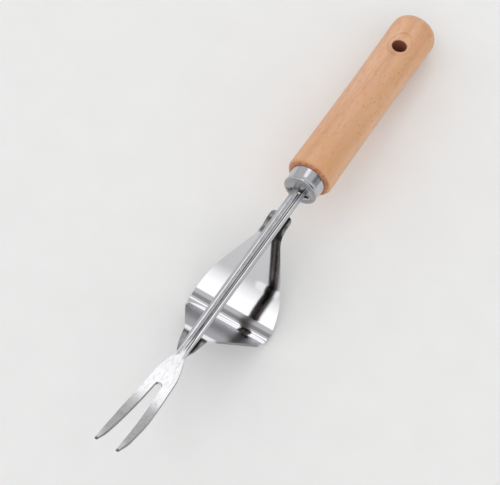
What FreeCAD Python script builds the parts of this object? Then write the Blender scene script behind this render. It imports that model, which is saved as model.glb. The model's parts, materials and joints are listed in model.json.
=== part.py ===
"""Hand weeder: a turned handle, a ferrule with its disc, a forked steel shaft and a bowed fulcrum plate.

+Y runs from the fork towards the butt of the handle, +Z is the front, and the origin is the middle of the
hanging hole, on the axis of the handle. Lengths are in millimetres.
"""

import FreeCAD
import Part
import math
import os

from FreeCAD import Placement, Rotation, Vector
from Sketcher import Constraint

DIMENSIONS = {
    # The front of the ferrule, measured from the middle of the hanging hole.
    "ferrule_front": -107.0,
    # Handle: the butt is measured from the hole, the waist and the bore from the front of the ferrule.
    "butt_end": 27.0,
    "handle_radius": 12.9,
    "waist_radius": 12.5,
    "waist_station": 56.0,
    "butt_radius": 13.0,
    "butt_round": 7.0,
    "butt_crown_radius": 25.0,
    "shoulder_round": 3.2,
    "spigot_radius": 8.5,
    "bore_radius": 5.5,
    "bore_depth": 60.0,
    "hole_radius": 4.0,
    "hole_round": 0.9,
    "dish_radius": 16.0,
    "dish_depth": 2.6,
    # Ferrule and the disc that closes it.
    "ferrule_length": 8.8,
    "ferrule_radius": 10.0,
    "ferrule_front_radius": 9.3,
    "ferrule_step": 1.2,
    "disc_radius": 9.5,
    "disc_thickness": 1.6,
    "disc_round": 0.5,
    "slot_width": 11.0,
    "slot_height": 1.9,
    "slot_play": 0.1,
    # Shaft: an open U channel that flattens into the fork. Stations are from the front of the ferrule.
    "channel_width": 7.4,
    "channel_width_low": 6.6,
    "channel_taper": 0.5,
    "channel_depth": 3.7,
    "channel_wall": 1.9,
    "channel_bend": 2.4,
    "channel_top": 6.0,
    "channel_low": -103.0,
    "neck_width": 5.4,
    "neck": -118.0,
    "neck_taper": 0.15,
    "neck_wall": 0.8,
    "neck_trough": 0.06,
    "neck_bend": 1.1,
    "tang_width": 8.0,
    "tang_thickness": 2.0,
    "tang_end": 56.0,
    "tang_depth": 2.9,
    "tang_point": 1.6,
    "tang_point_length": 30.0,
    "tang_overlap": 2.0,
    # Fork, with stations from the front of the ferrule.
    "fork_thickness": 2.4,
    "fork_bend": -133.0,
    "fork_radius": 99.0,
    "fork_half_width": 7.8,
    "fork_shoulder_half_width": 6.2,
    "fork_tip": -187.0,
    "crotch": -136.8,
    "crotch_half_width": 1.9,
    "gap_half_width": 3.4,
    "gap_half_width_low": 4.5,
    "tip_outer": 6.3,
    "tip_inner": 5.4,
    "tip_share": 0.45,
    "tip_grind": 9.0,
    # Fulcrum plate: the corners of its side view, from the front of the ferrule and from the handle's axis,
    # then the corners of its outline, from its own middle line.
    "plate_thickness": 1.5,
    "plate_top": -15.0,
    "plate_bend_top": -23.2,
    "plate_bend_radius": 10.0,
    "plate_bow": -49.2,
    "plate_bow_depth": -34.4,
    "plate_bow_radius": 88.0,
    "plate_low": -63.4,
    "plate_low_depth": -46.0,
    "plate_low_radius": 9.0,
    "plate_bend_low": -102.0,
    "plate_bend_low_radius": 6.0,
    "plate_bottom": -116.0,
    "tab_half_width": 6.1,
    "tab_root": -27.2,
    "leaf_half_width": 28.75,
    "leaf_widest": -57.5,
    "leaf_round": 30.0,
    "low_root_half_width": 7.0,
    "low_root": -100.5,
    "low_tab_half_width": 4.9,
    "low_tab": -110.5,
    "low_tab_end_half_width": 2.6,
    "plate_blank_width": 50.0,
    "plate_spare": 1.0,
    # The plate is welded on a little to the left of the shaft's middle.
    "plate_shift": -0.8,
    # Beads of weld.
    "weld_radius": 0.9,
}

doc = FreeCAD.newDocument("hand_weeder")
sheet = doc.addObject("Spreadsheet::Sheet", "dims")


def fill_sheet():
    for row, (alias, value) in enumerate(DIMENSIONS.items(), start=1):
        sheet.set("A%d" % row, alias)
        sheet.set("B%d" % row, str(value))
        sheet.setAlias("B%d" % row, alias)
    doc.recompute()


def dim(alias):
    return float(sheet.get(alias))


def station(alias):
    """The place along Y of a station that is measured from the front of the ferrule."""
    return dim("ferrule_front") + dim(alias)


# ---------------------------------------------------------------- sketches and features


def new_body(name):
    body = doc.addObject("PartDesign::Body", name)
    body.Label = name
    body.Placement = Placement()
    return body


def new_sketch(body, name, role, offset="0"):
    """A sketch on one of the body's own planes, moved off it along its normal by a formula."""
    sketch = body.newObject("Sketcher::SketchObject", name)
    plane = next(feature for feature in body.Origin.OriginFeatures if feature.Role == role)
    sketch.AttachmentSupport = (plane, "")
    sketch.MapMode = "FlatFace"
    sketch.setExpression("AttachmentOffset.Base.z", offset)
    return sketch


def rounded(points, radii, closed=True):
    """Lines through the points, with an arc of the given radius at each corner."""
    corners = [Vector(p[0], p[1], 0) for p in points]
    count = len(corners)
    arcs, starts, ends = [], [], []
    for i, here in enumerate(corners):
        radius = radii[i]
        if radius <= 0 or (not closed and i in (0, count - 1)):
            starts.append(here)
            ends.append(here)
            arcs.append(None)
            continue
        back = (corners[i - 1] - here).normalize()
        ahead = (corners[(i + 1) % count] - here).normalize()
        half = back.getAngle(ahead) / 2
        run = radius / math.tan(half)
        first, last = here + back * run, here + ahead * run
        middle = here + (back + ahead).normalize() * (radius / math.sin(half) - radius)
        starts.append(first)
        ends.append(last)
        arcs.append(Part.Arc(first, middle, last))
    curves = []
    for i in range(count):
        if arcs[i] is not None:
            curves.append(arcs[i])
        if i == count - 1 and not closed:
            break
        here, ahead = ends[i], starts[(i + 1) % count]
        if here.distanceToPoint(ahead) > 1e-6:
            curves.append(Part.LineSegment(here, ahead))
    return curves


def draw(sketch, curves):
    """Adds the curves and ties the ends that meet."""
    first = sketch.GeometryCount
    sketch.addGeometry(curves, False)
    count = len(curves)
    for i in range(count if count > 2 else count - 1):
        here, ahead = first + i, first + (i + 1) % count
        for a, b in ((2, 1), (2, 2), (1, 1), (1, 2)):
            if sketch.getPoint(here, a).distanceToPoint(sketch.getPoint(ahead, b)) < 1e-6:
                sketch.addConstraint(Constraint("Coincident", here, a, ahead, b))
                break


def drive(sketch, place, axis, formula):
    """Ties the sketch's corner at a place to a formula of the sheet, along X or Y."""
    for geometry in range(sketch.GeometryCount):
        for end in (1, 2):
            point = sketch.getPoint(geometry, end)
            if point.distanceToPoint(Vector(place[0], place[1], 0)) > 1e-4:
                continue
            value = point.x if axis == "X" else point.y
            order = (-1, 1, geometry, end) if value > 0 else (geometry, end, -1, 1)
            index = sketch.addConstraint(Constraint("Distance" + axis, *order, abs(value)))
            sketch.setExpression("Constraints[%d]" % index, formula if value > 0 else "-(%s)" % formula)
            return
    raise ValueError("no corner at %s in %s" % (place, sketch.Name))


def revolve(body, sketch, kind="PartDesign::Revolution"):
    feature = body.newObject(kind, sketch.Name + "_turned")
    feature.Profile = sketch
    feature.ReferenceAxis = (sketch, ["V_Axis"])
    feature.Angle = 360
    doc.recompute()
    return feature


def sweep(body, name, profile, path, edges):
    pipe = body.newObject("PartDesign::AdditivePipe", name)
    pipe.Profile = profile
    pipe.Spine = (path, ["Edge%d" % (i + 1) for i in range(edges)])
    doc.recompute()
    return pipe


def cut_through(body, sketch):
    """Cuts the sketch right through the body, both ways, and makes sure that something came off."""
    before = body.Shape.Volume
    pocket = body.newObject("PartDesign::Pocket", sketch.Name + "_cut")
    pocket.Profile = sketch
    pocket.Type = 1
    pocket.Midplane = True
    doc.recompute()
    assert body.Shape.Volume < before - 5, sketch.Name
    return pocket


def mirrored_outline(right):
    """The closed outline whose right half is given as (across, along, corner radius)."""
    whole = right + [(-x, y, radius) for x, y, radius in reversed(right)]
    return rounded([p[:2] for p in whole], [p[2] for p in whole])


def trim_to(body, name, right, top, bottom):
    """Cuts a sheet back to a mirrored outline between the two stations."""
    sketch = new_sketch(body, name, "XY_Plane")
    wide = dim("plate_blank_width")
    draw(sketch, rounded([(-wide, top), (wide, top), (wide, bottom), (-wide, bottom)], [0] * 4))
    draw(sketch, mirrored_outline(right))
    return sketch


# ---------------------------------------------------------------- handle


def handle_profile(body):
    """Half of the handle's long section: spigot, eased shoulder, waisted belly, rounded and crowned butt."""
    front = station("disc_thickness")
    shoulder = station("ferrule_length")
    end, radius, waist, butt = dim("butt_end"), dim("handle_radius"), dim("waist_radius"), dim("butt_radius")
    bore, spigot, bore_end = dim("bore_radius"), dim("spigot_radius"), station("bore_depth")
    ease, tail, crown = dim("shoulder_round"), dim("butt_round"), dim("butt_crown_radius")

    # The butt's corner arc meets the belly at its widest and the crown where the two arcs share a tangent.
    inset = butt - tail
    drop = math.sqrt((crown - tail) ** 2 - inset ** 2)
    meet = crown / (crown - tail)
    belly_end = Vector(butt, end - crown + drop, 0)
    tail_end = Vector(inset * meet, end - crown + drop * meet, 0)
    half_turn = math.atan2(drop, inset) / 2
    tail_middle = Vector(inset + tail * math.cos(half_turn), belly_end.y + tail * math.sin(half_turn), 0)
    half_crown = math.asin(inset * meet / crown) / 2
    crown_middle = Vector(crown * math.sin(half_crown), end - crown + crown * math.cos(half_crown), 0)

    shoulder_start = Vector(radius - ease, shoulder, 0)
    belly_start = Vector(radius, shoulder + ease, 0)
    lean = ease * (1 - math.sqrt(0.5))
    drill_tip = Vector(0, bore_end + bore / 2, 0)
    sketch = new_sketch(body, "handle_profile", "XY_Plane")
    draw(
        sketch,
        [
            Part.LineSegment(Vector(bore, front, 0), Vector(spigot, front, 0)),
            Part.LineSegment(Vector(spigot, front, 0), Vector(spigot, shoulder, 0)),
            Part.LineSegment(Vector(spigot, shoulder, 0), shoulder_start),
            Part.Arc(shoulder_start, Vector(radius - lean, shoulder + lean, 0), belly_start),
            Part.Arc(belly_start, Vector(waist, station("waist_station"), 0), belly_end),
            Part.Arc(belly_end, tail_middle, tail_end),
            Part.Arc(tail_end, crown_middle, Vector(0, end, 0)),
            Part.LineSegment(Vector(0, end, 0), drill_tip),
            Part.LineSegment(drill_tip, Vector(bore, bore_end, 0)),
            Part.LineSegment(Vector(bore, bore_end, 0), Vector(bore, front, 0)),
        ],
    )
    drive(sketch, (bore, front), "X", "dims.bore_radius")
    drive(sketch, (spigot, front), "X", "dims.spigot_radius")
    drive(sketch, (spigot, front), "Y", "dims.ferrule_front + dims.disc_thickness")
    drive(sketch, (radius, belly_start.y), "X", "dims.handle_radius")
    drive(sketch, (butt, belly_end.y), "X", "dims.butt_radius")
    drive(sketch, (0, end), "Y", "dims.butt_end")
    return sketch


def hang_hole_profile(body):
    """Half of the cutter for the cross hole: a dish at each side, an eased lip and the straight bore."""
    hole, ease = dim("hole_radius"), dim("hole_round")
    dish, depth, top = dim("dish_radius"), dim("dish_depth"), dim("butt_radius")
    clear = top + 3.0
    reach = 0.6 * dish

    def dish_height(across):
        return top - depth + dish - math.sqrt(dish * dish - across * across)

    lip = hole + ease
    between = (lip + reach) / 2
    pull = ease * (1 - math.sqrt(0.5))
    throat = dish_height(lip) - ease

    def side_of(side):
        """The dish and the eased lip at one end of the bore, from the outside in."""
        outer, inner = Vector(reach, side * dish_height(reach), 0), Vector(lip, side * dish_height(lip), 0)
        eased = Vector(hole + pull, side * (dish_height(lip) - pull), 0)
        return [
            Part.LineSegment(Vector(reach, side * clear, 0), outer),
            Part.Arc(outer, Vector(between, side * dish_height(between), 0), inner),
            Part.Arc(inner, eased, Vector(hole, side * throat, 0)),
        ]

    sketch = new_sketch(body, "hang_hole_profile", "XZ_Plane")
    draw(
        sketch,
        [Part.LineSegment(Vector(0, -clear, 0), Vector(reach, -clear, 0))]
        + side_of(-1)
        + [Part.LineSegment(Vector(hole, -throat, 0), Vector(hole, throat, 0))]
        + list(reversed(side_of(1)))
        + [
            Part.LineSegment(Vector(reach, clear, 0), Vector(0, clear, 0)),
            Part.LineSegment(Vector(0, clear, 0), Vector(0, -clear, 0)),
        ],
    )
    drive(sketch, (hole, throat), "X", "dims.hole_radius")
    drive(sketch, (hole, -throat), "X", "dims.hole_radius")
    return sketch


def build_handle():
    body = new_body("handle")
    revolve(body, handle_profile(body))
    before = body.Shape.Volume
    revolve(body, hang_hole_profile(body), "PartDesign::Groove")
    assert body.Shape.Volume < before - 1000
    return body


# ---------------------------------------------------------------- ferrule and disc


def build_ferrule():
    start, end = station("disc_thickness"), station("ferrule_length")
    front, rear, spigot = dim("ferrule_front_radius"), dim("ferrule_radius"), dim("spigot_radius")
    rim = front - 0.3
    body = new_body("ferrule")
    sketch = new_sketch(body, "ferrule_profile", "XY_Plane")
    points = [(spigot, start), (rim, start), (front, start + dim("ferrule_step")), (rear, end), (spigot, end)]
    draw(sketch, rounded(points, [0, 0.3, 1.5, 0.3, 0]))
    drive(sketch, (spigot, start), "X", "dims.spigot_radius")
    drive(sketch, (spigot, start), "Y", "dims.ferrule_front + dims.disc_thickness")
    drive(sketch, (spigot, end), "X", "dims.spigot_radius")
    drive(sketch, (spigot, end), "Y", "dims.ferrule_front + dims.ferrule_length")
    revolve(body, sketch)
    return body


def build_disc():
    front, rear = dim("ferrule_front"), station("disc_thickness")
    radius, ease = dim("disc_radius"), dim("disc_round")
    body = new_body("ferrule_disc")
    sketch = new_sketch(body, "disc_profile", "XY_Plane")
    draw(sketch, rounded([(0, front), (radius, front), (radius, rear), (0, rear)], [0, ease, ease, 0]))
    drive(sketch, (0, front), "Y", "dims.ferrule_front")
    drive(sketch, (0, rear), "Y", "dims.ferrule_front + dims.disc_thickness")
    drive(sketch, (radius, front + ease), "X", "dims.disc_radius")
    revolve(body, sketch)

    # A U for the channel, crossed by a wider slot.
    play = dim("slot_play")
    half, side, tall = dim("channel_width") / 2 + play, dim("slot_width") / 2, dim("slot_height") / 2
    rise, deep = 2 * play, dim("channel_depth") + 2 * play
    middle = -deep / 2
    inset = half - dim("channel_taper")
    right = [
        (half, rise), (half, middle + tall), (side, middle + tall),
        (side, middle - tall), (half, middle - tall), (inset, -deep),
    ]
    outline = right + [(-x, z) for x, z in reversed(right)]
    slot = new_sketch(body, "disc_slot", "XZ_Plane")
    draw(slot, rounded(outline, [0] * len(outline)))
    drive(slot, (side, middle + tall), "X", "dims.slot_width / 2")
    drive(slot, (half, rise), "X", "dims.channel_width / 2 + dims.slot_play")
    cut_through(body, slot)
    return body


# ---------------------------------------------------------------- fork, shaft and tang


def channel_section(body, name, place, width, taper, depth, wall, trough, bend):
    """A cross-section of the shaft: rims at z = 0, walls that lean in, bends rounded inside and out.

    place, width and depth are each a value and the formula of the sheet that gives it.
    """
    sketch = new_sketch(body, name, "XZ_Plane", "-(%s)" % place[1])
    half, base = width[0] / 2, width[0] / 2 - taper
    inner_rim, inner_base = half - wall, base - wall
    points = [
        (-half, 0), (-base, -depth[0]), (base, -depth[0]), (half, 0),
        (inner_rim, 0), (inner_base, -trough), (-inner_base, -trough), (-inner_rim, 0),
    ]
    inside = min(bend - 1.0, 0.6 * trough)
    draw(sketch, rounded(points, [0, bend, bend, 0, 0, inside, inside, 0]))
    drive(sketch, (half, 0), "X", "(%s) / 2" % width[1])
    drive(sketch, (-half, 0), "X", "-(%s) / 2" % width[1])
    return sketch


def fork_side(body):
    """The fork's side view: flat from the neck, then curving up to the tips."""
    bend, radius = station("fork_bend"), dim("fork_radius")
    turn = math.asin((bend - station("fork_tip")) / radius)
    path = new_sketch(body, "fork_side", "YZ_Plane")

    def on_arc(angle):
        return Vector(bend - radius * math.sin(angle), radius * (1 - math.cos(angle)), 0)

    start = Vector(station("neck") + 3.0, 0, 0)
    draw(path, [Part.LineSegment(start, on_arc(0)), Part.Arc(on_arc(0), on_arc(turn / 2), on_arc(turn))])
    drive(path, (bend, 0), "X", "dims.ferrule_front + dims.fork_bend")
    return path, start.x


def tip_wedge(body):
    """The side view of what is ground off under the tips."""
    bend, radius, thick = station("fork_bend"), dim("fork_radius"), dim("fork_thickness")
    turn = math.asin((bend - station("fork_tip")) / radius)

    def under(angle, below):
        reach = radius + below
        return (bend - reach * math.sin(angle), radius - reach * math.cos(angle))

    past = turn + 1.0 / radius
    back = turn - dim("tip_grind") / radius
    sketch = new_sketch(body, "tip_wedge", "YZ_Plane")
    points = [under(past, dim("tip_share") * thick), under(back, thick), under(past, 3 * thick)]
    draw(sketch, rounded(points, [0] * 3))
    return sketch


def build_fork_shaft():
    thick, neck, tip = dim("fork_thickness"), station("neck"), station("fork_tip")
    body = new_body("fork_shaft")

    path, start = fork_side(body)
    blank = new_sketch(body, "fork_strip", "XZ_Plane", "-(dims.ferrule_front + dims.neck + 3)")
    wide = dim("fork_half_width") + 2.0
    draw(blank, rounded([(-wide, 0), (wide, 0), (wide, -thick), (-wide, -thick)], [0] * 4))
    drive(blank, (wide, -thick), "Y", "-dims.fork_thickness")
    drive(blank, (-wide, -thick), "Y", "-dims.fork_thickness")
    sweep(body, "fork_sheet", blank, path, 2)

    half_neck, top = dim("neck_width") / 2, start + 3.0
    widest, crotch, inner = dim("fork_half_width"), station("crotch"), dim("crotch_half_width")
    tip_end = tip + 0.2
    right = [
        (half_neck, top, 0), (half_neck, neck, 14.0), (dim("fork_shoulder_half_width"), neck - 12.0, 22.0),
        (widest, neck - 42.0, 60.0), (widest - 0.4, tip + 11.0, 12.0),
        (dim("tip_outer"), tip_end, 0.4), (dim("tip_inner"), tip_end, 0.4),
        (dim("gap_half_width_low"), tip + 9.0, 60.0), (dim("gap_half_width"), tip + 27.0, 60.0),
        (inner, crotch, inner - 0.2),
    ]
    cut_through(body, trim_to(body, "fork_outline", right, top + 2, tip - 10))
    cut_through(body, tip_wedge(body))

    wall, bend, deep = dim("channel_wall"), dim("channel_bend"), (dim("channel_depth"), "dims.channel_depth")
    blend_end = (neck - 1.0, "dims.ferrule_front + dims.neck - 1")
    taper, trough = dim("channel_taper"), dim("channel_depth") - wall
    front = "dims.ferrule_front + dims."
    sections = [
        channel_section(
            body, "channel_top", (station("channel_top"), front + "channel_top"),
            (dim("channel_width"), "dims.channel_width"), taper, deep, wall, trough, bend,
        ),
        channel_section(
            body, "channel_low", (station("channel_low"), front + "channel_low"),
            (dim("channel_width_low"), "dims.channel_width_low"), taper, deep, wall, trough, bend,
        ),
        channel_section(
            body, "channel_end", blend_end,
            (dim("neck_width"), "dims.neck_width"), dim("neck_taper"), (thick, "dims.fork_thickness"),
            dim("neck_wall"), dim("neck_trough"), dim("neck_bend"),
        ),
    ]
    loft = body.newObject("PartDesign::AdditiveLoft", "channel")
    loft.Profile = sections[0]
    loft.Sections = sections[1:]
    loft.Ruled = True
    doc.recompute()

    tang = new_sketch(body, "tang_outline", "XY_Plane", "-dims.tang_depth")
    half, end = dim("tang_width") / 2, station("tang_end")
    begin = station("channel_top") - dim("tang_overlap")
    point, shoulder = dim("tang_point"), end - dim("tang_point_length")
    points = [(-half, begin), (half, begin), (half, shoulder), (point, end), (-point, end), (-half, shoulder)]
    draw(tang, rounded(points, [0.8] * len(points)))
    pad = body.newObject("PartDesign::Pad", "tang")
    pad.Profile = tang
    pad.setExpression("Length", "dims.tang_thickness")
    doc.recompute()
    return body


# ---------------------------------------------------------------- fulcrum plate


def build_plate():
    back, thick, spare = -dim("channel_depth"), dim("plate_thickness"), dim("plate_spare")
    top, bottom = station("plate_top"), station("plate_bottom")
    # The lower tab follows the back of the shaft, which comes forward as the channel flattens.
    slope = (dim("channel_depth") - dim("fork_thickness")) / (dim("channel_low") - dim("neck") + 1.0)
    climb = slope * (station("channel_low") - bottom + spare)
    body = new_body("fulcrum_plate")
    body.setExpression("Placement.Base.x", "dims.plate_shift")
    path = new_sketch(body, "plate_side", "YZ_Plane")
    corners = [
        (top + spare, back), (station("plate_bend_top"), back),
        (station("plate_bow"), dim("plate_bow_depth")), (station("plate_low"), dim("plate_low_depth")),
        (station("plate_bend_low"), back), (bottom - spare, back + climb),
    ]
    radii = [
        0, dim("plate_bend_radius"), dim("plate_bow_radius"),
        dim("plate_low_radius"), dim("plate_bend_low_radius"), 0,
    ]
    curves = rounded(corners, radii, closed=False)
    draw(path, curves)
    drive(path, corners[0], "X", "dims.ferrule_front + dims.plate_top + dims.plate_spare")
    drive(path, corners[0], "Y", "-dims.channel_depth")
    drive(path, corners[-1], "X", "dims.ferrule_front + dims.plate_bottom - dims.plate_spare")

    start = "-(dims.ferrule_front + dims.plate_top + dims.plate_spare)"
    profile = new_sketch(body, "plate_strip", "XZ_Plane", start)
    wide = dim("plate_blank_width") / 2 + 3.0
    points = [(-wide, back), (wide, back), (wide, back - thick), (-wide, back - thick)]
    draw(profile, rounded(points, [0] * 4))
    for x in (-wide, wide):
        drive(profile, (x, back), "Y", "-dims.channel_depth")
        drive(profile, (x, back - thick), "Y", "-dims.channel_depth - dims.plate_thickness")
    sweep(body, "plate_sheet", profile, path, len(curves))

    right = [
        (dim("tab_half_width"), top, 2.4), (dim("tab_half_width"), station("tab_root"), 9.0),
        (dim("leaf_half_width"), station("leaf_widest"), dim("leaf_round")),
        (dim("low_root_half_width"), station("low_root"), 12.0),
        (dim("low_tab_half_width"), station("low_tab"), 8.0), (dim("low_tab_end_half_width"), bottom, 1.5),
    ]
    cut_through(body, trim_to(body, "plate_outline", right, top + 9.0, bottom - 10.0))
    return body


# ---------------------------------------------------------------- adhesive and welds


def subtract(name, base, tools):
    """Cuts each tool from the base in turn; the last cut carries the name."""
    for i, tool in enumerate(tools):
        last = i == len(tools) - 1
        cut = doc.addObject("Part::Cut", name if last else "%s_step_%d" % (name, i))
        cut.Base = base
        cut.Tool = tool
        base = cut
    base.Label = name
    doc.recompute()
    return base


def build_adhesive(fork):
    """What fills the bore of the handle round the tang."""
    fill = doc.addObject("Part::Cylinder", "bore_fill")
    fill.setExpression("Radius", "dims.bore_radius")
    fill.setExpression("Height", "dims.bore_depth - dims.disc_thickness")
    fill.Placement = Placement(Vector(0, 0, 0), Rotation(Vector(1, 0, 0), -90))
    fill.setExpression("Placement.Base.y", "dims.ferrule_front + dims.disc_thickness")
    return subtract("tang_adhesive", fill, [fork])


def build_weld(name, place, height, length, tools):
    """A bead lying across the tool; place and height are formulas of the sheet."""
    bead = doc.addObject("Part::Cylinder", name + "_bead")
    bead.Height = length
    bead.Placement = Placement(Vector(-length / 2, 0, 0), Rotation(Vector(0, 1, 0), 90))
    bead.setExpression("Radius", "dims.weld_radius")
    bead.setExpression("Placement.Base.y", "dims.ferrule_front + " + place)
    bead.setExpression("Placement.Base.z", height)
    return subtract(name, bead, tools)


def main():
    fill_sheet()
    handle, ferrule, disc = build_handle(), build_ferrule(), build_disc()
    fork, plate = build_fork_shaft(), build_plate()
    pieces = [
        handle, ferrule, disc, fork, plate,
        build_adhesive(fork),
        build_weld("upper_weld", "dims.plate_top", "-0.3 - dims.channel_depth", 4.0, [fork, plate]),
        build_weld("lower_weld", "dims.plate_bottom", "0.6 - dims.channel_depth", 4.4, [fork, plate]),
        build_weld("disc_weld", "(-0.4)", "0.3 - dims.channel_depth + dims.channel_wall", 2.0, [fork, disc]),
    ]
    doc.recompute()
    broken = [o.Name for o in doc.Objects if "Invalid" in o.State or "Error" in o.State]
    assert not broken, broken
    os.makedirs("parts", exist_ok=True)
    for piece in pieces:
        shape = piece.Shape
        assert not shape.isNull() and shape.isValid(), piece.Label
        print(piece.Label, len(shape.Solids), round(shape.Volume, 1), shape.optimalBoundingBox())
        shape.exportStep("parts/%s.step" % piece.Label)


main()
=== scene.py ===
"""Hand weeder lying on a pale floor: beech handle, steel ferrule, forked shaft and bright fulcrum plate.

Outlines are in millimetres. Places along the tool are worked out from the boxes of the CAD pieces.
"""

import json
import math

import bmesh
import bpy
from mathutils import Matrix, Vector

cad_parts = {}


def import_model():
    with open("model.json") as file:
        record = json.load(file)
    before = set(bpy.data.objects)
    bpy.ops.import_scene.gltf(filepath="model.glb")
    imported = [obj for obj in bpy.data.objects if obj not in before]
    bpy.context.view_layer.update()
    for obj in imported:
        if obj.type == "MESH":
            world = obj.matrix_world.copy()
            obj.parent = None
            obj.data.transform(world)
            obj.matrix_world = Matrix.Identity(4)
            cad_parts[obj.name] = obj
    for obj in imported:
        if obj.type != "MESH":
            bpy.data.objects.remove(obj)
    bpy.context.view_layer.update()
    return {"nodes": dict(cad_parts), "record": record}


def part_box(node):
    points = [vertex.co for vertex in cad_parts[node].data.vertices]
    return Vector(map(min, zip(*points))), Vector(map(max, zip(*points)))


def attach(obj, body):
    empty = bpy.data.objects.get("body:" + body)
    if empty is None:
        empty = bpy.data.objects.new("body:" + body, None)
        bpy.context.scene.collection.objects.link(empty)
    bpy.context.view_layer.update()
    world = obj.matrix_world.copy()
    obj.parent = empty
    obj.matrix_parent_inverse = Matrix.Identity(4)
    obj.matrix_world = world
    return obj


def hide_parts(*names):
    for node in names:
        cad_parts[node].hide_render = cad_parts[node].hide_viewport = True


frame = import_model()
NODES = frame["nodes"]
MM = 0.001
DISH_HALF_WIDTH = 6.05 * MM
DISH_HALF_LENGTH = 8.7 * MM
WELD_DISTANCE = 0.004 * MM
SHARP_ANGLE = math.radians(32)
BEVEL_ANGLE = math.radians(35)
GRAIN_DEPTH = 0.1 * MM
BUBBLE_DEPTH = 0.1 * MM
BRUSH_DEPTH = 0.04 * MM


# ---------------------------------------------------------------- node helpers

class Tree:
    """A node tree with short ways to add and join nodes; a value is a (node, socket) pair or a number."""

    def __init__(self, tree):
        self.tree = tree

    def add(self, kind, **settings):
        node = self.tree.nodes.new(kind)
        for key, value in settings.items():
            setattr(node, key, value)
        return node

    def link(self, a, a_socket, b, b_socket):
        self.tree.links.new(a.outputs[a_socket], b.inputs[b_socket])

    def ramp(self, source, socket, stops):
        node = self.add("ShaderNodeValToRGB")
        elements = node.color_ramp.elements
        while len(elements) < len(stops):
            elements.new(0.5)
        for element, (position, colour) in zip(elements, stops):
            element.position = position
            element.color = (*colour, 1.0)
        self.link(source, socket, node, "Fac")
        return node

    def mix(self, factor, a, b, blend="MIX"):
        """Mixes colours; a and b are each a (node, socket) pair or a plain colour."""
        node = self.add("ShaderNodeMix", data_type="RGBA", blend_type=blend)
        for index, item in ((0, factor), (6, a), (7, b)):
            if isinstance(item, tuple) and hasattr(item[0], "outputs"):
                self.link(*item, node, index)
            elif index == 0:
                node.inputs[0].default_value = item
            else:
                node.inputs[index].default_value = (*item, 1.0)
        return node, 2

    def maths(self, operation, *values):
        node = self.add("ShaderNodeMath", operation=operation)
        for index, item in enumerate(values):
            if isinstance(item, tuple):
                self.link(*item, node, index)
            else:
                node.inputs[index].default_value = item
        return node, "Value"

    def times(self, *factors):
        """The product of several values."""
        result = factors[0]
        for factor in factors[1:]:
            result = self.maths("MULTIPLY", result, factor)
        return result

    def length(self, a, b):
        """The length of the vector (a, b)."""
        return self.maths("SQRT", self.maths("ADD", self.times(a, a), self.times(b, b)))

    def fade(self, source, low, high):
        """0 below low, 1 above high, smooth between; works downwards when low is above high."""
        node = self.add("ShaderNodeMapRange", interpolation_type="SMOOTHSTEP")
        start, end = (0.0, 1.0) if low < high else (1.0, 0.0)
        limits = {"From Min": min(low, high), "From Max": max(low, high), "To Min": start, "To Max": end}
        for name, value in limits.items():
            node.inputs[name].default_value = value
        self.link(*source, node, "Value")
        return node, "Result"


class Graph(Tree):
    """A new material's node tree."""

    def __init__(self, name):
        self.material = bpy.data.materials.new(name)
        self.material.use_nodes = True
        super().__init__(self.material.node_tree)
        self.tree.nodes.clear()
        out = self.add("ShaderNodeOutputMaterial")
        self.shader = self.add("ShaderNodeBsdfPrincipled")
        self.link(self.shader, "BSDF", out, "Surface")
        self.coords = self.add("ShaderNodeTexCoord")
        self.place = self.add("ShaderNodeSeparateXYZ")
        self.link(self.coords, "Object", self.place, "Vector")

    def axis(self, name):
        """One coordinate of the point being shaded, in metres along the tool's own axes."""
        return self.place, name

    def mapped(self, scale, rotation=(0, 0, 0), location=(0, 0, 0)):
        node = self.add("ShaderNodeMapping")
        node.inputs["Scale"].default_value = scale
        node.inputs["Rotation"].default_value = rotation
        node.inputs["Location"].default_value = location
        self.link(self.coords, "Object", node, "Vector")
        return node

    def noise(self, vector, scale, detail=4.0, roughness=0.55, distortion=0.0):
        node = self.add("ShaderNodeTexNoise")
        node.inputs["Scale"].default_value = scale
        node.inputs["Detail"].default_value = detail
        node.inputs["Roughness"].default_value = roughness
        node.inputs["Distortion"].default_value = distortion
        self.link(vector, "Vector", node, "Vector")
        return node

    def voronoi(self, vector, scale):
        node = self.add("ShaderNodeTexVoronoi")
        node.inputs["Scale"].default_value = scale
        self.link(vector, "Vector", node, "Vector")
        return node

    def span(self, source, low, high, start, end):
        """Maps a value between low and high to one between start and end."""
        node = self.add("ShaderNodeMapRange")
        for name, value in (("From Min", low), ("From Max", high), ("To Min", start), ("To Max", end)):
            node.inputs[name].default_value = value
        self.link(*source, node, "Value")
        return node, "Result"

    def rises(self, name, low, high):
        """A fade along one of the tool's axes, between two places in metres."""
        return self.fade(self.axis(name), low, high)

    def band(self, name, rise, fall):
        """1 within a stretch of one axis; its soft rise and fall are each a pair of places in metres."""
        return self.times(self.rises(name, *rise), self.rises(name, *fall))

    def tint(self, base, amount, colour):
        """The base colour mixed towards a plain colour by an amount."""
        return self.mix(amount, base, colour)

    def bump(self, source, socket, strength, distance):
        node = self.add("ShaderNodeBump")
        node.inputs["Strength"].default_value = strength
        node.inputs["Distance"].default_value = distance
        self.link(source, socket, node, "Height")
        self.link(node, "Normal", self.shader, "Normal")

    def feed(self, value, name):
        """Connects a value to one of the shader's inputs."""
        self.link(*value, self.shader, name)

    def set(self, **values):
        for name, value in values.items():
            self.shader.inputs[name.replace("_", " ")].default_value = value


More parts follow.
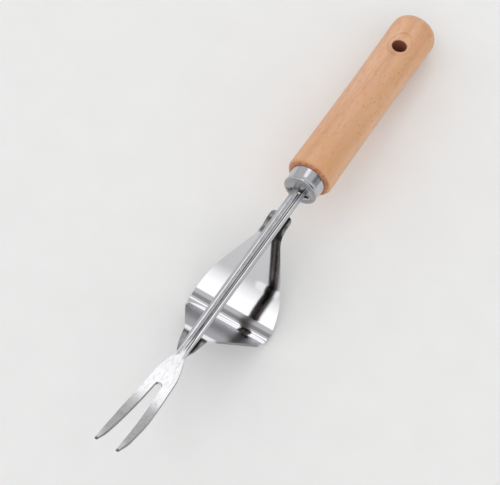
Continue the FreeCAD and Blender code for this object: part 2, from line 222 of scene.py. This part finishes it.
def beech(shoulder, hole):
    """Turned beech under satin varnish: soft streaks and dark flecks, with painted shade next to the
    ferrule, on the right-hand side, round the dish and in the hole.
    """
    g = Graph("beech")
    grain = g.mapped((1.0, 0.07, 1.0))
    broad = g.noise(grain, 120.0, 3.0, 0.5, 0.7)
    fine = g.noise(grain, 950.0, 4.0, 0.6)
    streaks = [(0.3, (0.70, 0.37, 0.21)), (0.5, (0.80, 0.46, 0.285)), (0.72, (0.88, 0.54, 0.36))]
    base = g.ramp(broad, "Fac", streaks)
    cloud = g.noise(g.mapped((1.0, 0.5, 1.0), location=(0.4, 0.1, 0.2)), 60.0, 2.0)
    warm = g.times(g.fade((cloud, "Fac"), 0.45, 0.65), 0.35)
    colour = g.tint((base, "Color"), warm, (0.76, 0.39, 0.17))
    colour = g.tint(colour, g.times(g.fade((fine, "Fac"), 0.42, 0.68), 0.30), (0.66, 0.34, 0.18))
    ripple = g.noise(g.mapped((1.0, 0.5, 1.0), rotation=(0.0, 0.0, 0.5)), 420.0, 3.0, 0.6)
    colour = g.tint(colour, g.times(g.fade((ripple, "Fac"), 0.50, 0.66), 0.28), (0.60, 0.30, 0.15))
    # Painted shade: the right-hand side of the billet is painted a little darker and warmer.
    colour = g.tint(colour, g.times(g.rises("X", 0.5 * MM, 6.0 * MM), 0.40), (0.70, 0.37, 0.16))
    flecks = g.voronoi(g.mapped((1.0, 0.2, 1.0), location=(0.013, 0.0, 0.0)), 820.0)
    patch = g.noise(g.mapped((1.0, 0.6, 1.0)), 95.0, 2.0)
    fleck = g.times(g.fade((flecks, "Distance"), 0.24, 0.08), g.fade((patch, "Fac"), 0.42, 0.60), 0.55)
    colour = g.tint(colour, fleck, (0.26, 0.09, 0.03))
    # Painted shade in a ring next to the ferrule, with a ragged edge, and a darker line close to the steel.
    ragged = g.maths("MULTIPLY_ADD", (cloud, "Fac"), 2.4 * MM, shoulder + 0.1 * MM)
    above = g.maths("SUBTRACT", g.axis("Y"), ragged)
    ring = g.times(g.fade(above, 1.2 * MM, -0.8 * MM), 0.55)
    colour = g.tint(colour, ring, (0.52, 0.22, 0.09))
    close = g.maths("SUBTRACT", g.axis("Y"), shoulder + 0.5 * MM)
    line = g.times(g.fade(close, 0.7 * MM, 0.1 * MM), g.fade((ripple, "Fac"), 0.30, 0.60), 0.7)
    colour = g.tint(colour, line, (0.30, 0.08, 0.03))
    # Painted shade along the rim of the dish round the hole, which is longer than it is wide.
    away = g.length(g.axis("X"), g.axis("Y"))
    across = g.times(g.axis("X"), 1.0 / DISH_HALF_WIDTH)
    along = g.times(g.axis("Y"), 1.0 / DISH_HALF_LENGTH)
    oval = g.length(across, along)
    wear_and_shade_patches = g.fade((cloud, "Fac"), 0.30, 0.60)
    rim = g.times(g.fade(oval, 0.84, 0.98), g.fade(oval, 1.10, 1.0), wear_and_shade_patches, 0.5)
    colour = g.tint(colour, rim, (0.50, 0.23, 0.10))
    # Painted shade in the bored hole and a little round its edge.
    painted_hole_shade = g.times(g.fade(away, hole + 0.45 * MM, hole - 0.1 * MM), 0.9)
    colour = g.tint(colour, painted_hole_shade, (0.22, 0.05, 0.03))
    g.feed(colour, "Base Color")
    g.feed(g.span((fine, "Fac"), 0.3, 0.75, 0.40, 0.56), "Roughness")
    g.bump(fine, "Fac", 0.14, GRAIN_DEPTH)
    g.set(Coat_Weight=0.10, Coat_Roughness=0.3)
    return g.material


class Steel:
    """A polished steel: brushing, faint smudges in the roughness, and room for stains and painted shade."""

    def __init__(self, name, colour, roughness, spread, brush=0.0, brush_scale=(60.0, 4.0, 60.0)):
        g = self.graph = Graph(name)
        cloud = g.noise(g.mapped((1, 1, 1)), 60.0, 3.0)
        lines = g.noise(g.mapped(brush_scale), 60.0, 3.0, 0.6)
        self.rough = g.span((cloud, "Fac"), 0.35, 0.7, roughness, roughness + spread)
        shade = [(0.25, tuple(c * 0.93 for c in colour)), (0.75, colour)]
        self.colour = (g.ramp(lines, "Fac", shade), "Color")
        g.bump(lines, "Fac", brush, BRUSH_DEPTH)
        g.set(Metallic=1.0)

    def stain_and_shade(self, amount, colour, rougher=0.0):
        """Mixes a colour in by an amount, and roughens the same places."""
        g = self.graph
        self.colour = g.tint(self.colour, amount, colour)
        if rougher:
            self.rough = g.maths("ADD", self.rough, g.times(amount, rougher))

    def done(self):
        self.graph.feed(self.colour, "Base Color")
        self.graph.feed(self.rough, "Roughness")
        return self.graph.material


def shaft_steel(neck, tip):
    """Polished on the front; painted shade in two lines along the channel and on its unpolished back, with
    a painted highlight stripe, and painted light on the left wall.
    """
    steel = Steel("stainless", (0.70, 0.70, 0.72), 0.13, 0.10, 0.16, (60.0, 5.0, 60.0))
    g = steel.graph
    on_shaft = g.rises("Y", neck - 4 * MM, neck + 5 * MM)
    on_fork = g.rises("Y", neck + 4 * MM, neck - 2 * MM)
    across = g.maths("ABSOLUTE", g.axis("X"))
    # Two lines of painted shade run along the channel, both to the right of where its floor begins.
    left_line = g.band("X", (-0.50 * MM, -0.30 * MM), (0.40 * MM, 0.25 * MM))
    right_line = g.band("X", (0.75 * MM, 0.88 * MM), (1.75 * MM, 1.60 * MM))
    lines = g.maths("MAXIMUM", left_line, right_line)
    sunk = g.rises("Z", -0.25 * MM, -0.8 * MM)
    wobble = g.noise(g.mapped((1.0, 0.25, 1.0)), 130.0, 3.0)
    patchy = g.span((wobble, "Fac"), 0.3, 0.7, 0.75, 1.0)
    steel.stain_and_shade(g.times(on_shaft, lines, sunk, patchy, 0.97), (0.02, 0.018, 0.018), 0.02)
    # Painted light on the channel's left wall, which is also satin, and painted shade on its dull rims.
    wall = g.band("X", (-0.5 * MM, -0.8 * MM), (-2.0 * MM, -1.85 * MM))
    inside = g.rises("Z", -0.05 * MM, -0.25 * MM)
    steel.stain_and_shade(g.times(on_shaft, wall, inside), (0.90, 0.90, 0.92), 0.7)
    rim = g.times(g.fade(across, 1.95 * MM, 2.2 * MM), g.rises("Z", -0.5 * MM, -0.2 * MM))
    steel.stain_and_shade(g.times(on_shaft, rim, 0.85), (0.32, 0.32, 0.335), 0.14)
    # Painted shade, brown-black, on the back and underside, with a painted highlight as a paler stripe
    # along the middle.
    back = g.times(g.rises("Z", -1.0 * MM, -2.6 * MM), g.fade(across, 1.2 * MM, 1.9 * MM))
    under = g.rises("Z", -2.9 * MM, -3.3 * MM)
    behind = g.maths("MAXIMUM", back, under)
    steel.stain_and_shade(g.times(on_shaft, behind, 0.94), (0.085, 0.062, 0.053), 0.15)
    stripe = g.times(under, g.fade(across, 0.9 * MM, 0.3 * MM))
    steel.stain_and_shade(g.times(on_shaft, stripe, 0.6), (0.34, 0.28, 0.25))
    # Painted shade on the fork's sheared sides where they face sideways; its tips are dark, and its face is
    # worn in patches.
    facing = g.add("ShaderNodeSeparateXYZ")
    g.link(g.coords, "Normal", facing, "Vector")
    sideways = g.maths("ABSOLUTE", (facing, "X"))
    steel.stain_and_shade(g.times(on_fork, g.fade(sideways, 0.35, 0.75), 0.85), (0.10, 0.10, 0.105), 0.2)
    steel.stain_and_shade(g.times(g.rises("Y", tip + 2.2 * MM, tip + 0.6 * MM), 0.8), (0.04, 0.038, 0.03), 0.2)
    wear_and_shade_patches = g.noise(g.mapped((1.0, 0.35, 1.0)), 700.0, 4.0, 0.65)
    steel.stain_and_shade(g.times(g.fade((wear_and_shade_patches, "Fac"), 0.45, 0.7), 0.35), (0.40, 0.39, 0.40), 0.05)
    return steel.done()


def plate_steel(top, bottom):
    """Mirror-polished, with painted shade on the lower leg, which is satin, on a band at the start of the
    low bend and on the two welded tabs.
    """
    steel = Steel("plate_steel", (0.80, 0.80, 0.82), 0.035, 0.03, 0.02)
    g = steel.graph
    # Painted shade on the lower leg, which is also made satin.
    leg_top = (top - 53.5 * MM, top - 56.5 * MM)
    leg_end = (bottom + 18.0 * MM, bottom + 21.0 * MM)
    steel.stain_and_shade(g.times(g.band("Y", leg_top, leg_end), 0.88), (0.19, 0.19, 0.20), 0.20)
    # A band of painted shade at the start of the low bend, which is also a little rougher.
    bend_shade_band = g.band("Y", (top - 41.9 * MM, top - 42.5 * MM), (top - 48.2 * MM, top - 47.4 * MM))
    steel.stain_and_shade(g.times(bend_shade_band, 0.85), (0.30, 0.30, 0.31), 0.12)
    # Painted shade, patchy, on the two welded tabs where they meet the shaft.
    upper = g.rises("Y", top - 13.5 * MM, top - 12.0 * MM)
    lower = g.rises("Y", bottom + 15.0 * MM, bottom + 13.0 * MM)
    tabs = g.maths("MAXIMUM", upper, lower)
    mottle = g.noise(g.mapped((1, 1, 1)), 300.0, 3.0)
    patchy = g.span((mottle, "Fac"), 0.3, 0.7, 0.75, 1.0)
    steel.stain_and_shade(g.times(tabs, patchy, 0.96), (0.065, 0.06, 0.058), 0.16)
    return steel.done()


def weld_steel():
    """Bright bead with a straw and blue heat tint."""
    steel = Steel("weld_steel", (0.72, 0.71, 0.70), 0.22, 0.15, 0.3)
    g = steel.graph
    hue = g.noise(g.mapped((1, 1, 1)), 900.0, 3.0)
    steel.stain_and_shade(g.times(g.fade((hue, "Fac"), 0.45, 0.6), 0.5), (0.35, 0.26, 0.16), 0.1)
    steel.stain_and_shade(g.times(g.fade((hue, "Fac"), 0.62, 0.72), 0.5), (0.12, 0.14, 0.22), 0.1)
    return steel.done()


def epoxy():
    """Cured adhesive: cloudy amber with small bubbles."""
    g = Graph("epoxy")
    cloud = g.noise(g.mapped((1, 1, 1)), 250.0, 3.0)
    base = g.ramp(cloud, "Fac", [(0.3, (0.52, 0.43, 0.26)), (0.7, (0.66, 0.58, 0.40))])
    g.feed((base, "Color"), "Base Color")
    bubbles = g.voronoi(g.mapped((1, 1, 1)), 1500.0)
    g.feed(g.span((cloud, "Fac"), 0.3, 0.7, 0.35, 0.5), "Roughness")
    g.bump(bubbles, "Distance", 0.3, BUBBLE_DEPTH)
    return g.material


def dress(node, material):
    """Gives a CAD piece its material and smooth shading between its sharp edges."""
    obj = NODES[node]
    for slot in range(len(obj.material_slots)):
        obj.material_slots[slot].material = material
    if not obj.material_slots:
        obj.data.materials.append(material)
    obj.data.polygons.foreach_set("use_smooth", [True] * len(obj.data.polygons))
    weld = obj.modifiers.new("weld", "WELD")
    weld.merge_threshold = WELD_DISTANCE
    obj.data.set_sharp_from_angle(angle=SHARP_ANGLE)


# ---------------------------------------------------------------- outlines and paths

def rounded(points, radii, step):
    """Samples the open line through 2-D points, with an arc of the given radius at each inner corner."""
    out = []
    for i, here in enumerate(points):
        here = Vector(here)
        radius = radii[i]
        if radius <= 0:
            out.append(here)
            continue
        back = (Vector(points[i - 1]) - here).normalized()
        ahead = (Vector(points[i + 1]) - here).normalized()
        half = back.angle(ahead) / 2
        run = radius / math.tan(half)
        centre = here + (back + ahead).normalized() * (radius / math.sin(half))
        first = here + back * run - centre
        last = here + ahead * run - centre
        turn = math.pi - 2 * half
        side = 1 if first.x * last.y - first.y * last.x > 0 else -1
        steps = max(3, int(math.ceil(turn * radius / step)))
        for k in range(steps + 1):
            a = side * turn * k / steps
            across = first.x * math.cos(a) - first.y * math.sin(a)
            along = first.x * math.sin(a) + first.y * math.cos(a)
            out.append(centre + Vector((across, along)))
    return out


def resample(points, step):
    """Adds points along the straight runs so that none is longer than step."""
    out = [points[0]]
    for a, b in zip(points, points[1:]):
        pieces = max(1, int(math.ceil((b - a).length / step)))
        out += [a.lerp(b, k / pieces) for k in range(1, pieces + 1)]
    return out


def across_at(line, along):
    """The x of a monotonic (x, y) line at the given y."""
    for a, b in zip(line, line[1:]):
        low, high = min(a.y, b.y), max(a.y, b.y)
        if low - 1e-9 <= along <= high + 1e-9 and high - low > 1e-7:
            return a.x + (b.x - a.x) * (along - a.y) / (b.y - a.y)
    return line[0].x if abs(along - line[0].y) < abs(along - line[-1].y) else line[-1].x


def add_mesh(name, vertices, faces, material):
    """A new object from vertices in millimetres, with doubles merged and faces turned outwards."""
    mesh = bpy.data.meshes.new(name)
    mesh.from_pydata([tuple(c * MM for c in v) for v in vertices], [], faces)
    mesh.validate()
    shell = bmesh.new()
    shell.from_mesh(mesh)
    bmesh.ops.remove_doubles(shell, verts=shell.verts, dist=1e-7)
    bmesh.ops.recalc_face_normals(shell, faces=shell.faces)
    shell.to_mesh(mesh)
    shell.free()
    obj = bpy.data.objects.new(name, mesh)
    bpy.context.scene.collection.objects.link(obj)
    mesh.materials.append(material)
    mesh.polygons.foreach_set("use_smooth", [True] * len(mesh.polygons))
    return obj


def soften(obj, width):
    """Rounds the sharp edges of an object by a width in millimetres."""
    bevel = obj.modifiers.new("edges", "BEVEL")
    bevel.width = width * MM
    bevel.segments = 3
    bevel.limit_method = "ANGLE"
    bevel.angle_limit = BEVEL_ANGLE
    bevel.harden_normals = True
    bevel.use_clamp_overlap = True
    return obj


def stand_for(obj, node):
    """Puts an object in the place of a CAD piece."""
    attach(obj, "root")
    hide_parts(node)
    return obj


# ---------------------------------------------------------------- fulcrum plate

CHANNEL_DEPTH = 3.7
CHANNEL_WALL = 1.9
FORK_THICK = 2.4
PLATE_THICK = 1.5
PLATE_SHIFT = -0.8
PLATE_COLUMNS = 24
PLATE_EDGE = 0.3

# Stations along the shaft, from the front of the ferrule disc towards the tips.
PLATE_TOP = -15.0
CHANNEL_LOW = -103.0
PLATE_BOTTOM = -116.0
NECK = -118.0
BLEND_END = NECK - 1.0
BEND = -133.0
CROTCH = -136.8
TIP = -187.0


def fulcrum_plate(front, material):
    """A sheet bent along its side line; at each station it is as wide as the leaf's outline there."""
    back = -CHANNEL_DEPTH
    top, bottom = front + PLATE_TOP, front + PLATE_BOTTOM
    # The lower tab follows the back of the shaft, where the channel flattens into the fork.
    flattened = (PLATE_BOTTOM - CHANNEL_LOW) / (BLEND_END - CHANNEL_LOW)
    end = back + (CHANNEL_DEPTH - FORK_THICK) * flattened
    side = [
        (top, back), (front - 23.2, back), (front - 49.2, -34.4), (front - 63.4, -46.0),
        (front - 102.0, back), (bottom, end),
    ]
    line = resample(rounded(side, [0, 10.0, 88.0, 9.0, 6.0, 0], 0.4), 1.0)
    # The rounded ends of the tabs take a few closer stations.
    closer = (0.03, 0.12, 0.28, 0.5, 0.75)
    line = line[:1] + [line[0].lerp(line[1], f) for f in closer] + line[1:]
    line = line[:-1] + [line[-1].lerp(line[-2], f) for f in closer][::-1] + line[-1:]
    outline = [
        (0.0, top), (6.1, top), (6.1, front - 27.2), (28.75, front - 57.5), (7.0, front - 100.5),
        (4.9, front - 110.5), (2.6, bottom), (0.0, bottom),
    ]
    edge = rounded(outline, [0, 2.4, 9.0, 30.0, 12.0, 8.0, 1.5, 0], 0.2)
    vertices, faces = [], []
    for i, here in enumerate(line):
        before, after = line[max(i - 1, 0)], line[min(i + 1, len(line) - 1)]
        run = (after - before).normalized()
        normal = Vector((run.y, -run.x))
        if normal.y < 0:
            normal = -normal
        for offset in (0.0, -PLATE_THICK):
            y, z = here + normal * offset
            half = across_at(edge, y)
            for k in range(PLATE_COLUMNS + 1):
                vertices.append((PLATE_SHIFT + half * (2 * k / PLATE_COLUMNS - 1), y, z))
    ring = 2 * (PLATE_COLUMNS + 1)
    for i in range(len(line) - 1):
        for k in range(PLATE_COLUMNS):
            for layer, flip in ((0, False), (PLATE_COLUMNS + 1, True)):
                a = i * ring + layer + k
                quad = (a, a + 1, a + ring + 1, a + ring)
                faces.append(quad if flip else quad[::-1])
        for k in (0, PLATE_COLUMNS):
            a = i * ring + k
            quad = (a, a + PLATE_COLUMNS + 1, a + PLATE_COLUMNS + 1 + ring, a + ring)
            faces.append(quad if k else quad[::-1])
    for i in (0, len(line) - 1):
        for k in range(PLATE_COLUMNS):
            a = i * ring + k
            quad = (a, a + 1, a + PLATE_COLUMNS + 2, a + PLATE_COLUMNS + 1)
            faces.append(quad if i else quad[::-1])
    obj = add_mesh("fulcrum_plate_sheet", vertices, faces, material)
    return stand_for(soften(obj, PLATE_EDGE), "fulcrum_plate")


# ---------------------------------------------------------------- fork and shaft

SHAFT_START = 6.0
SHAFT_WIDTH = 7.4
SHAFT_LOW_WIDTH = 6.6
NECK_HALF = 2.7
SHAFT_EDGE = 0.35
BEND_RADIUS = 99.0
CROTCH_REACH = 1.7
CROTCH_HALF = 1.9
TIP_GAP = 0.2
TIP_KEPT = 0.45
GROUND_LENGTH = 9.0
FORK_COLUMNS = 11
CHANNEL_STATIONS = 12
BLEND_STATIONS = 10
FORK_STATIONS = 12
CROTCH_STATIONS = 6
TINE_STATIONS = 40
WALL_SPLITS = (0.67, 0.33)


def half_channel(width, taper, depth, trough, wall, outer_bend=2.4):
    """Half of a cross-section from the middle outwards: (top points, bottom points)."""
    half, base = width / 2, width / 2 - taper
    rim, floor_edge = half - wall, base - wall
    small = min(outer_bend - 1.0, trough * 0.6)
    top = rounded([(0, -trough), (floor_edge, -trough), (rim, 0.0)], [0, small, 0], small / 6)
    curve = top[1:-1]
    top = [top[0]] + [curve[round(k * (len(curve) - 1) / 6)] for k in range(7)] + [top[-1]]
    top += [top[-1].lerp(Vector((half, 0)), f) for f in (0.35, 0.7, 1.0)]
    low = rounded([(0, -depth), (base, -depth), (half, 0.0)], [0, outer_bend, 0], outer_bend / 9)
    curve = low[1:-1]
    bottom = [low[0].lerp(curve[0], f) for f in (0, 0.35, 0.7)]
    bottom += [curve[round(k * (len(curve) - 1) / 8)] for k in range(9)]
    return top, bottom


def between(a, b, f):
    """The cross-section at a fraction f of the way from a to b."""
    return [[p.lerp(q, f) for p, q in zip(x, y)] for x, y in zip(a, b)]


def point_between(a, b, f):
    """The point, a tuple, at a fraction f of the way from a to b."""
    return tuple(p + (q - p) * f for p, q in zip(a, b))


def mirrored(points):
    """The same points on the other side of the tool's middle."""
    return [(-x, y, z) for x, y, z in points]


def closed_ring(top, wall, bottom):
    """A full ring from its right half: left to right on top, then right to left underneath."""
    ring = mirrored(reversed(top[1:])) + top + wall + bottom[::-1]
    return ring + mirrored(bottom[1:]) + mirrored(reversed(wall))


def channel_ring(y, top, bottom):
    """The ring of a channel's cross-section at one station."""
    wall = [bottom[-1].lerp(top[-1], f) for f in WALL_SPLITS]
    return closed_ring(*([(p.x, y, p.y) for p in part] for part in (top, wall, bottom)))


def fork_and_shaft(front, material):
    """The open channel, which flattens into the bent fork, and two tines; the hidden tang is left out."""
    neck, bend, crotch, tip = (front + station for station in (NECK, BEND, CROTCH, TIP))
    tine_start = crotch - CROTCH_REACH
    tine_end = tip + TIP_GAP
    # Outlines of the right half as (x, y, corner radius).
    outside = [
        (NECK_HALF, neck + 6.0, 0), (NECK_HALF, neck, 14.0), (6.2, neck - 12.0, 22.0),
        (7.8, neck - 42.0, 60.0), (7.4, tip + 11.0, 12.0), (6.3, tine_end, 0),
    ]
    inside = [
        (CROTCH_HALF, tine_start, 0), (3.4, tip + 27.0, 60.0), (4.5, tip + 9.0, 60.0),
        (5.4, tine_end, 0),
    ]
    outer, inner = (rounded([p[:2] for p in line], [p[2] for p in line], 0.5) for line in (outside, inside))

    def arc_z(y, layer):
        """Height of the sheet's top (layer 0) or underside (layer 1) at a station."""
        if y >= bend:
            return -FORK_THICK * layer
        r = BEND_RADIUS + FORK_THICK * layer
        angle = math.asin((bend - y) / BEND_RADIUS)
        return BEND_RADIUS - r * math.cos(angle)

    def underside_y(y):
        """Where along the tool the underside lies that belongs to a station of the top."""
        if y >= bend:
            return y
        return y - FORK_THICK * (bend - y) / BEND_RADIUS

    def half_points(y, low_x):
        """Top and bottom points at a station, from low_x out to the edge; the tips are ground thin."""
        high_x = across_at(outer, y)
        xs = [low_x + (high_x - low_x) * (k / FORK_COLUMNS) for k in range(FORK_COLUMNS + 1)]
        top = [(x, y, arc_z(y, 0)) for x in xs]
        kept = min(1.0, TIP_KEPT + (1.0 - TIP_KEPT) * (y - tip) / GROUND_LENGTH)
        low_y = max(y - (y - underside_y(y)) * kept, tine_end)
        low_z = arc_z(y, 0) + (arc_z(y, 1) - arc_z(y, 0)) * kept
        return top, [(x, low_y, low_z) for x in xs]

    def gap_half(y):
        """Half the width of the gap between the tines."""
        if y > tine_start:
            rise = 1 - (crotch - y) / CROTCH_REACH
            return CROTCH_HALF * math.sin(math.acos(max(-1.0, min(1.0, rise))))
        return across_at(inner, y)

    trough = CHANNEL_DEPTH - CHANNEL_WALL
    upper = half_channel(SHAFT_WIDTH, 0.5, CHANNEL_DEPTH, trough, CHANNEL_WALL)
    lower = half_channel(SHAFT_LOW_WIDTH, 0.5, CHANNEL_DEPTH, trough, CHANNEL_WALL)
    flat = half_channel(2 * NECK_HALF, 0.15, FORK_THICK, 0.06, 0.8, 1.1)
    start, low, blend_end = front + SHAFT_START, front + CHANNEL_LOW, front + BLEND_END
    rings = []
    for k in range(CHANNEL_STATIONS + 1):
        f = k / CHANNEL_STATIONS
        rings.append(channel_ring(start + (low - start) * f, *between(upper, lower, f)))
    for k in range(1, BLEND_STATIONS + 1):
        f = k / BLEND_STATIONS
        rings.append(channel_ring(low + (blend_end - low) * f, *between(lower, flat, f)))
    for k in range(1, FORK_STATIONS + 1):
        top, bottom = half_points(blend_end - (blend_end - crotch) * k / FORK_STATIONS, 0.0)
        wall = [point_between(bottom[-1], top[-1], f) for f in WALL_SPLITS]
        rings.append(closed_ring(top, wall, bottom))
    vertices = [v for ring in rings for v in ring]
    size = len(rings[0])
    faces = []
    for i in range(len(rings) - 1):
        for k in range(size):
            a, b = i * size + k, i * size + (k + 1) % size
            faces.append((a, b, b + size, a + size))
    faces.append(tuple(range(size))[::-1])

    # The tines: the ring at the crotch is shared, then each side goes on alone.
    ys = [crotch - CROTCH_REACH * (1 - math.cos(math.pi / 2 * k / CROTCH_STATIONS))
          for k in range(1, CROTCH_STATIONS + 1)]
    ys += [tine_start - (tine_start - tine_end) * k / TINE_STATIONS for k in range(1, TINE_STATIONS + 1)]
    base = (len(rings) - 1) * size
    top_middle = base + FORK_COLUMNS
    low_middle = top_middle + 2 * FORK_COLUMNS + 3
    wall_ids = {
        1: [top_middle + FORK_COLUMNS + 1, top_middle + FORK_COLUMNS + 2],
        -1: [base + size - 1, base + size - 2],
    }
    for side in (1, -1):
        top_ids = [top_middle + side * k for k in range(FORK_COLUMNS + 1)]
        low_ids = [low_middle - side * k for k in range(FORK_COLUMNS + 1)]
        # The first ring has no inner wall yet: its two places stay empty.
        previous = top_ids + wall_ids[side] + low_ids[::-1] + [None, None]
        for y in ys:
            top, bottom = half_points(y, gap_half(y))
            outer_wall = [point_between(bottom[-1], top[-1], f) for f in WALL_SPLITS]
            inner_wall = [point_between(top[0], bottom[0], f) for f in WALL_SPLITS]
            ring = top + outer_wall + bottom[::-1] + inner_wall
            now = list(range(len(vertices), len(vertices) + len(ring)))
            vertices += ring if side == 1 else mirrored(ring)
            for k in range(len(now)):
                n = (k + 1) % len(now)
                face = [v for v in (previous[k], previous[n], now[n], now[k]) if v is not None]
                if len(face) > 2:
                    faces.append(tuple(face[::side]))
            if previous[-1] is None:
                # The wedge where the two inner walls start from one edge.
                wedge = (previous[-3], now[-2], now[-1], previous[0])
                faces.append(wedge[::side])
            previous = now
        faces.append(tuple(previous[::side]))
    obj = add_mesh("fork_shaft_steel", vertices, faces, material)
    return stand_for(soften(obj, SHAFT_EDGE), "fork_shaft")


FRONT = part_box("ferrule_disc")[0].y
HOLE = frame["record"]["mounts"][0]["dims"]["r_mm"] * MM
BEECH = beech(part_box("ferrule")[1].y, HOLE)
FERRULE = Steel("ferrule_steel", (0.60, 0.61, 0.64), 0.15, 0.07, 0.10, (1.0, 60.0, 1.0)).done()
DISC = Steel("disc_steel", (0.52, 0.52, 0.54), 0.17, 0.10, 0.25).done()
STAINLESS = shaft_steel(FRONT + NECK * MM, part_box("fork_shaft")[0].y)
PLATE = plate_steel(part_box("fulcrum_plate")[1].y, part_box("fulcrum_plate")[0].y)
WELD = weld_steel()
EPOXY = epoxy()

dress("handle", BEECH)
dress("ferrule", FERRULE)
dress("ferrule_disc", DISC)
for bead in ("disc_weld", "upper_weld", "lower_weld"):
    dress(bead, WELD)
dress("tang_adhesive", EPOXY)
fulcrum_plate(FRONT / MM, PLATE)
fork_and_shaft(FRONT / MM, STAINLESS)


# ---------------------------------------------------------------- floor, light and camera

# Half the floor's side and its gap under the tool in metres, then where the tool touches it: at a
# share of the plate's length and at a distance from the end of the butt.
FLOOR_HALF = 12.0
FLOOR_GAP = 0.6 * MM
PLATE_TOUCH = 0.6
BUTT_TOUCH = 8 * MM


def rest_plane():
    """The plane the tool lies on: the lowest line of the plate and the back of the butt."""
    plate_low, plate_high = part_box("fulcrum_plate")
    handle_low, handle_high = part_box("handle")
    touch_y = plate_low.y * (1 - PLATE_TOUCH) + plate_high.y * PLATE_TOUCH
    butt_y = handle_high.y - BUTT_TOUCH
    pitch = math.atan2(handle_low.z - plate_low.z, butt_y - touch_y)
    return Vector((0, touch_y, plate_low.z)), pitch


def floor():
    """A pale floor just under the tool, pitched so that the tool rests on it."""
    point, pitch = rest_plane()
    mesh = bpy.data.meshes.new("floor")
    s = FLOOR_HALF
    mesh.from_pydata([(-s, -s, 0), (s, -s, 0), (s, s, 0), (-s, s, 0)], [], [(0, 1, 2, 3)])
    obj = bpy.data.objects.new("floor", mesh)
    bpy.context.scene.collection.objects.link(obj)
    below = Matrix.Translation(point - Vector((0, 0, FLOOR_GAP)))
    obj.matrix_world = below @ Matrix.Rotation(pitch, 4, "X")
    g = Graph("floor_pale")
    speck = g.noise(g.mapped((1, 1, 1)), 40.0, 2.0)
    tint = g.ramp(speck, "Fac", [(0.3, (0.90, 0.90, 0.895)), (0.7, (0.92, 0.92, 0.915))])
    g.feed((tint, "Color"), "Base Color")
    g.set(Roughness=0.9)
    mesh.materials.append(g.material)


# The studio: brightness against the angle over the tool in degrees, then the dark gap's bearing in
# degrees, its top edge and its darkness, and the overall strength.
ARCH = [
    (0, 0.46), (20, 0.50), (24, 0.60), (29, 0.82), (35, 1.0), (75, 1.0), (83, 0.50), (140, 0.50),
    (152, 0.44), (180, 0.44),
]
GAP_TURN = (20, 28, 46, 54)
GAP_TOP = (0.60, 0.80)
GAP_DARKNESS = 0.95
DOME = 1.3


def light(name, place, target, size, power):
    """A rectangular lamp that points at a target."""
    lamp = bpy.data.lights.new(name, "AREA")
    lamp.shape = "RECTANGLE"
    lamp.size, lamp.size_y = size
    lamp.energy = power
    obj = bpy.data.objects.new(name, lamp)
    bpy.context.scene.collection.objects.link(obj)
    obj.location = place
    obj.rotation_mode = "QUATERNION"
    obj.rotation_quaternion = (Vector(target) - Vector(place)).to_track_quat("-Z", "Y")


def world():
    """A soft arch of light over the tool, from the fork's end to past overhead, with one dark gap."""
    studio = bpy.data.worlds.new("studio")
    studio.use_nodes = True
    g = Tree(studio.node_tree)
    back = g.tree.nodes["Background"]
    coords = g.add("ShaderNodeTexCoord")
    split = g.add("ShaderNodeSeparateXYZ")
    g.link(coords, "Generated", split, "Vector")
    x, y, z = ((split, name) for name in "XYZ")
    # The angle round the tool's cross axis: 0 at the fork's horizon, 90 overhead, 180 behind the butt.
    arch = g.maths("DIVIDE", g.maths("ARCTAN2", z, g.maths("MULTIPLY", y, -1.0)), math.radians(180))
    ramp = g.ramp(*arch, [(degrees / 180, (grey, grey, grey)) for degrees, grey in ARCH])
    azimuth = g.maths("ARCTAN2", y, x)
    turn = [math.radians(a) for a in GAP_TURN]
    sides = g.times(g.fade(azimuth, turn[0], turn[1]), g.fade(azimuth, turn[3], turn[2]))
    gap = g.times(sides, g.fade(z, GAP_TOP[1], GAP_TOP[0]))
    dimmed = g.maths("SUBTRACT", 1.0, g.times(gap, GAP_DARKNESS))
    g.link(*g.mix(1.0, (ramp, "Color"), dimmed, "MULTIPLY"), back, "Color")
    back.inputs["Strength"].default_value = DOME
    bpy.context.scene.world = studio


def camera():
    """Looks down the front of the tool from the fork's side, with the tool leaning to the right."""
    tilt, side, roll = math.radians(31.0), math.radians(13.5), math.radians(11.2)
    distance = 1.01926
    disc_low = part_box("ferrule_disc")[0]
    target = Vector((-5.16 * MM, disc_low.y - 42.28 * MM, 0))
    back = Vector((math.sin(side) * math.cos(tilt), -math.sin(tilt), math.cos(side) * math.cos(tilt)))
    data = bpy.data.cameras.new("camera")
    data.sensor_width = 36.0
    data.lens = 144.0
    data.clip_start, data.clip_end = 0.05, 20.0
    obj = bpy.data.objects.new("camera", data)
    bpy.context.scene.collection.objects.link(obj)
    obj.rotation_mode = "QUATERNION"
    turn = (-back).to_track_quat("-Z", "Y")
    obj.rotation_quaternion = turn @ Matrix.Rotation(roll, 3, "Z").to_quaternion()
    obj.location = target + back * distance
    bpy.context.scene.camera = obj


floor()
world()
light("strip", place=(-0.22, 0.40, 0.95), target=(0, -0.17, 0), size=(0.38, 0.46), power=0.46)
camera()
bpy.context.scene.view_settings.view_transform = "Standard"
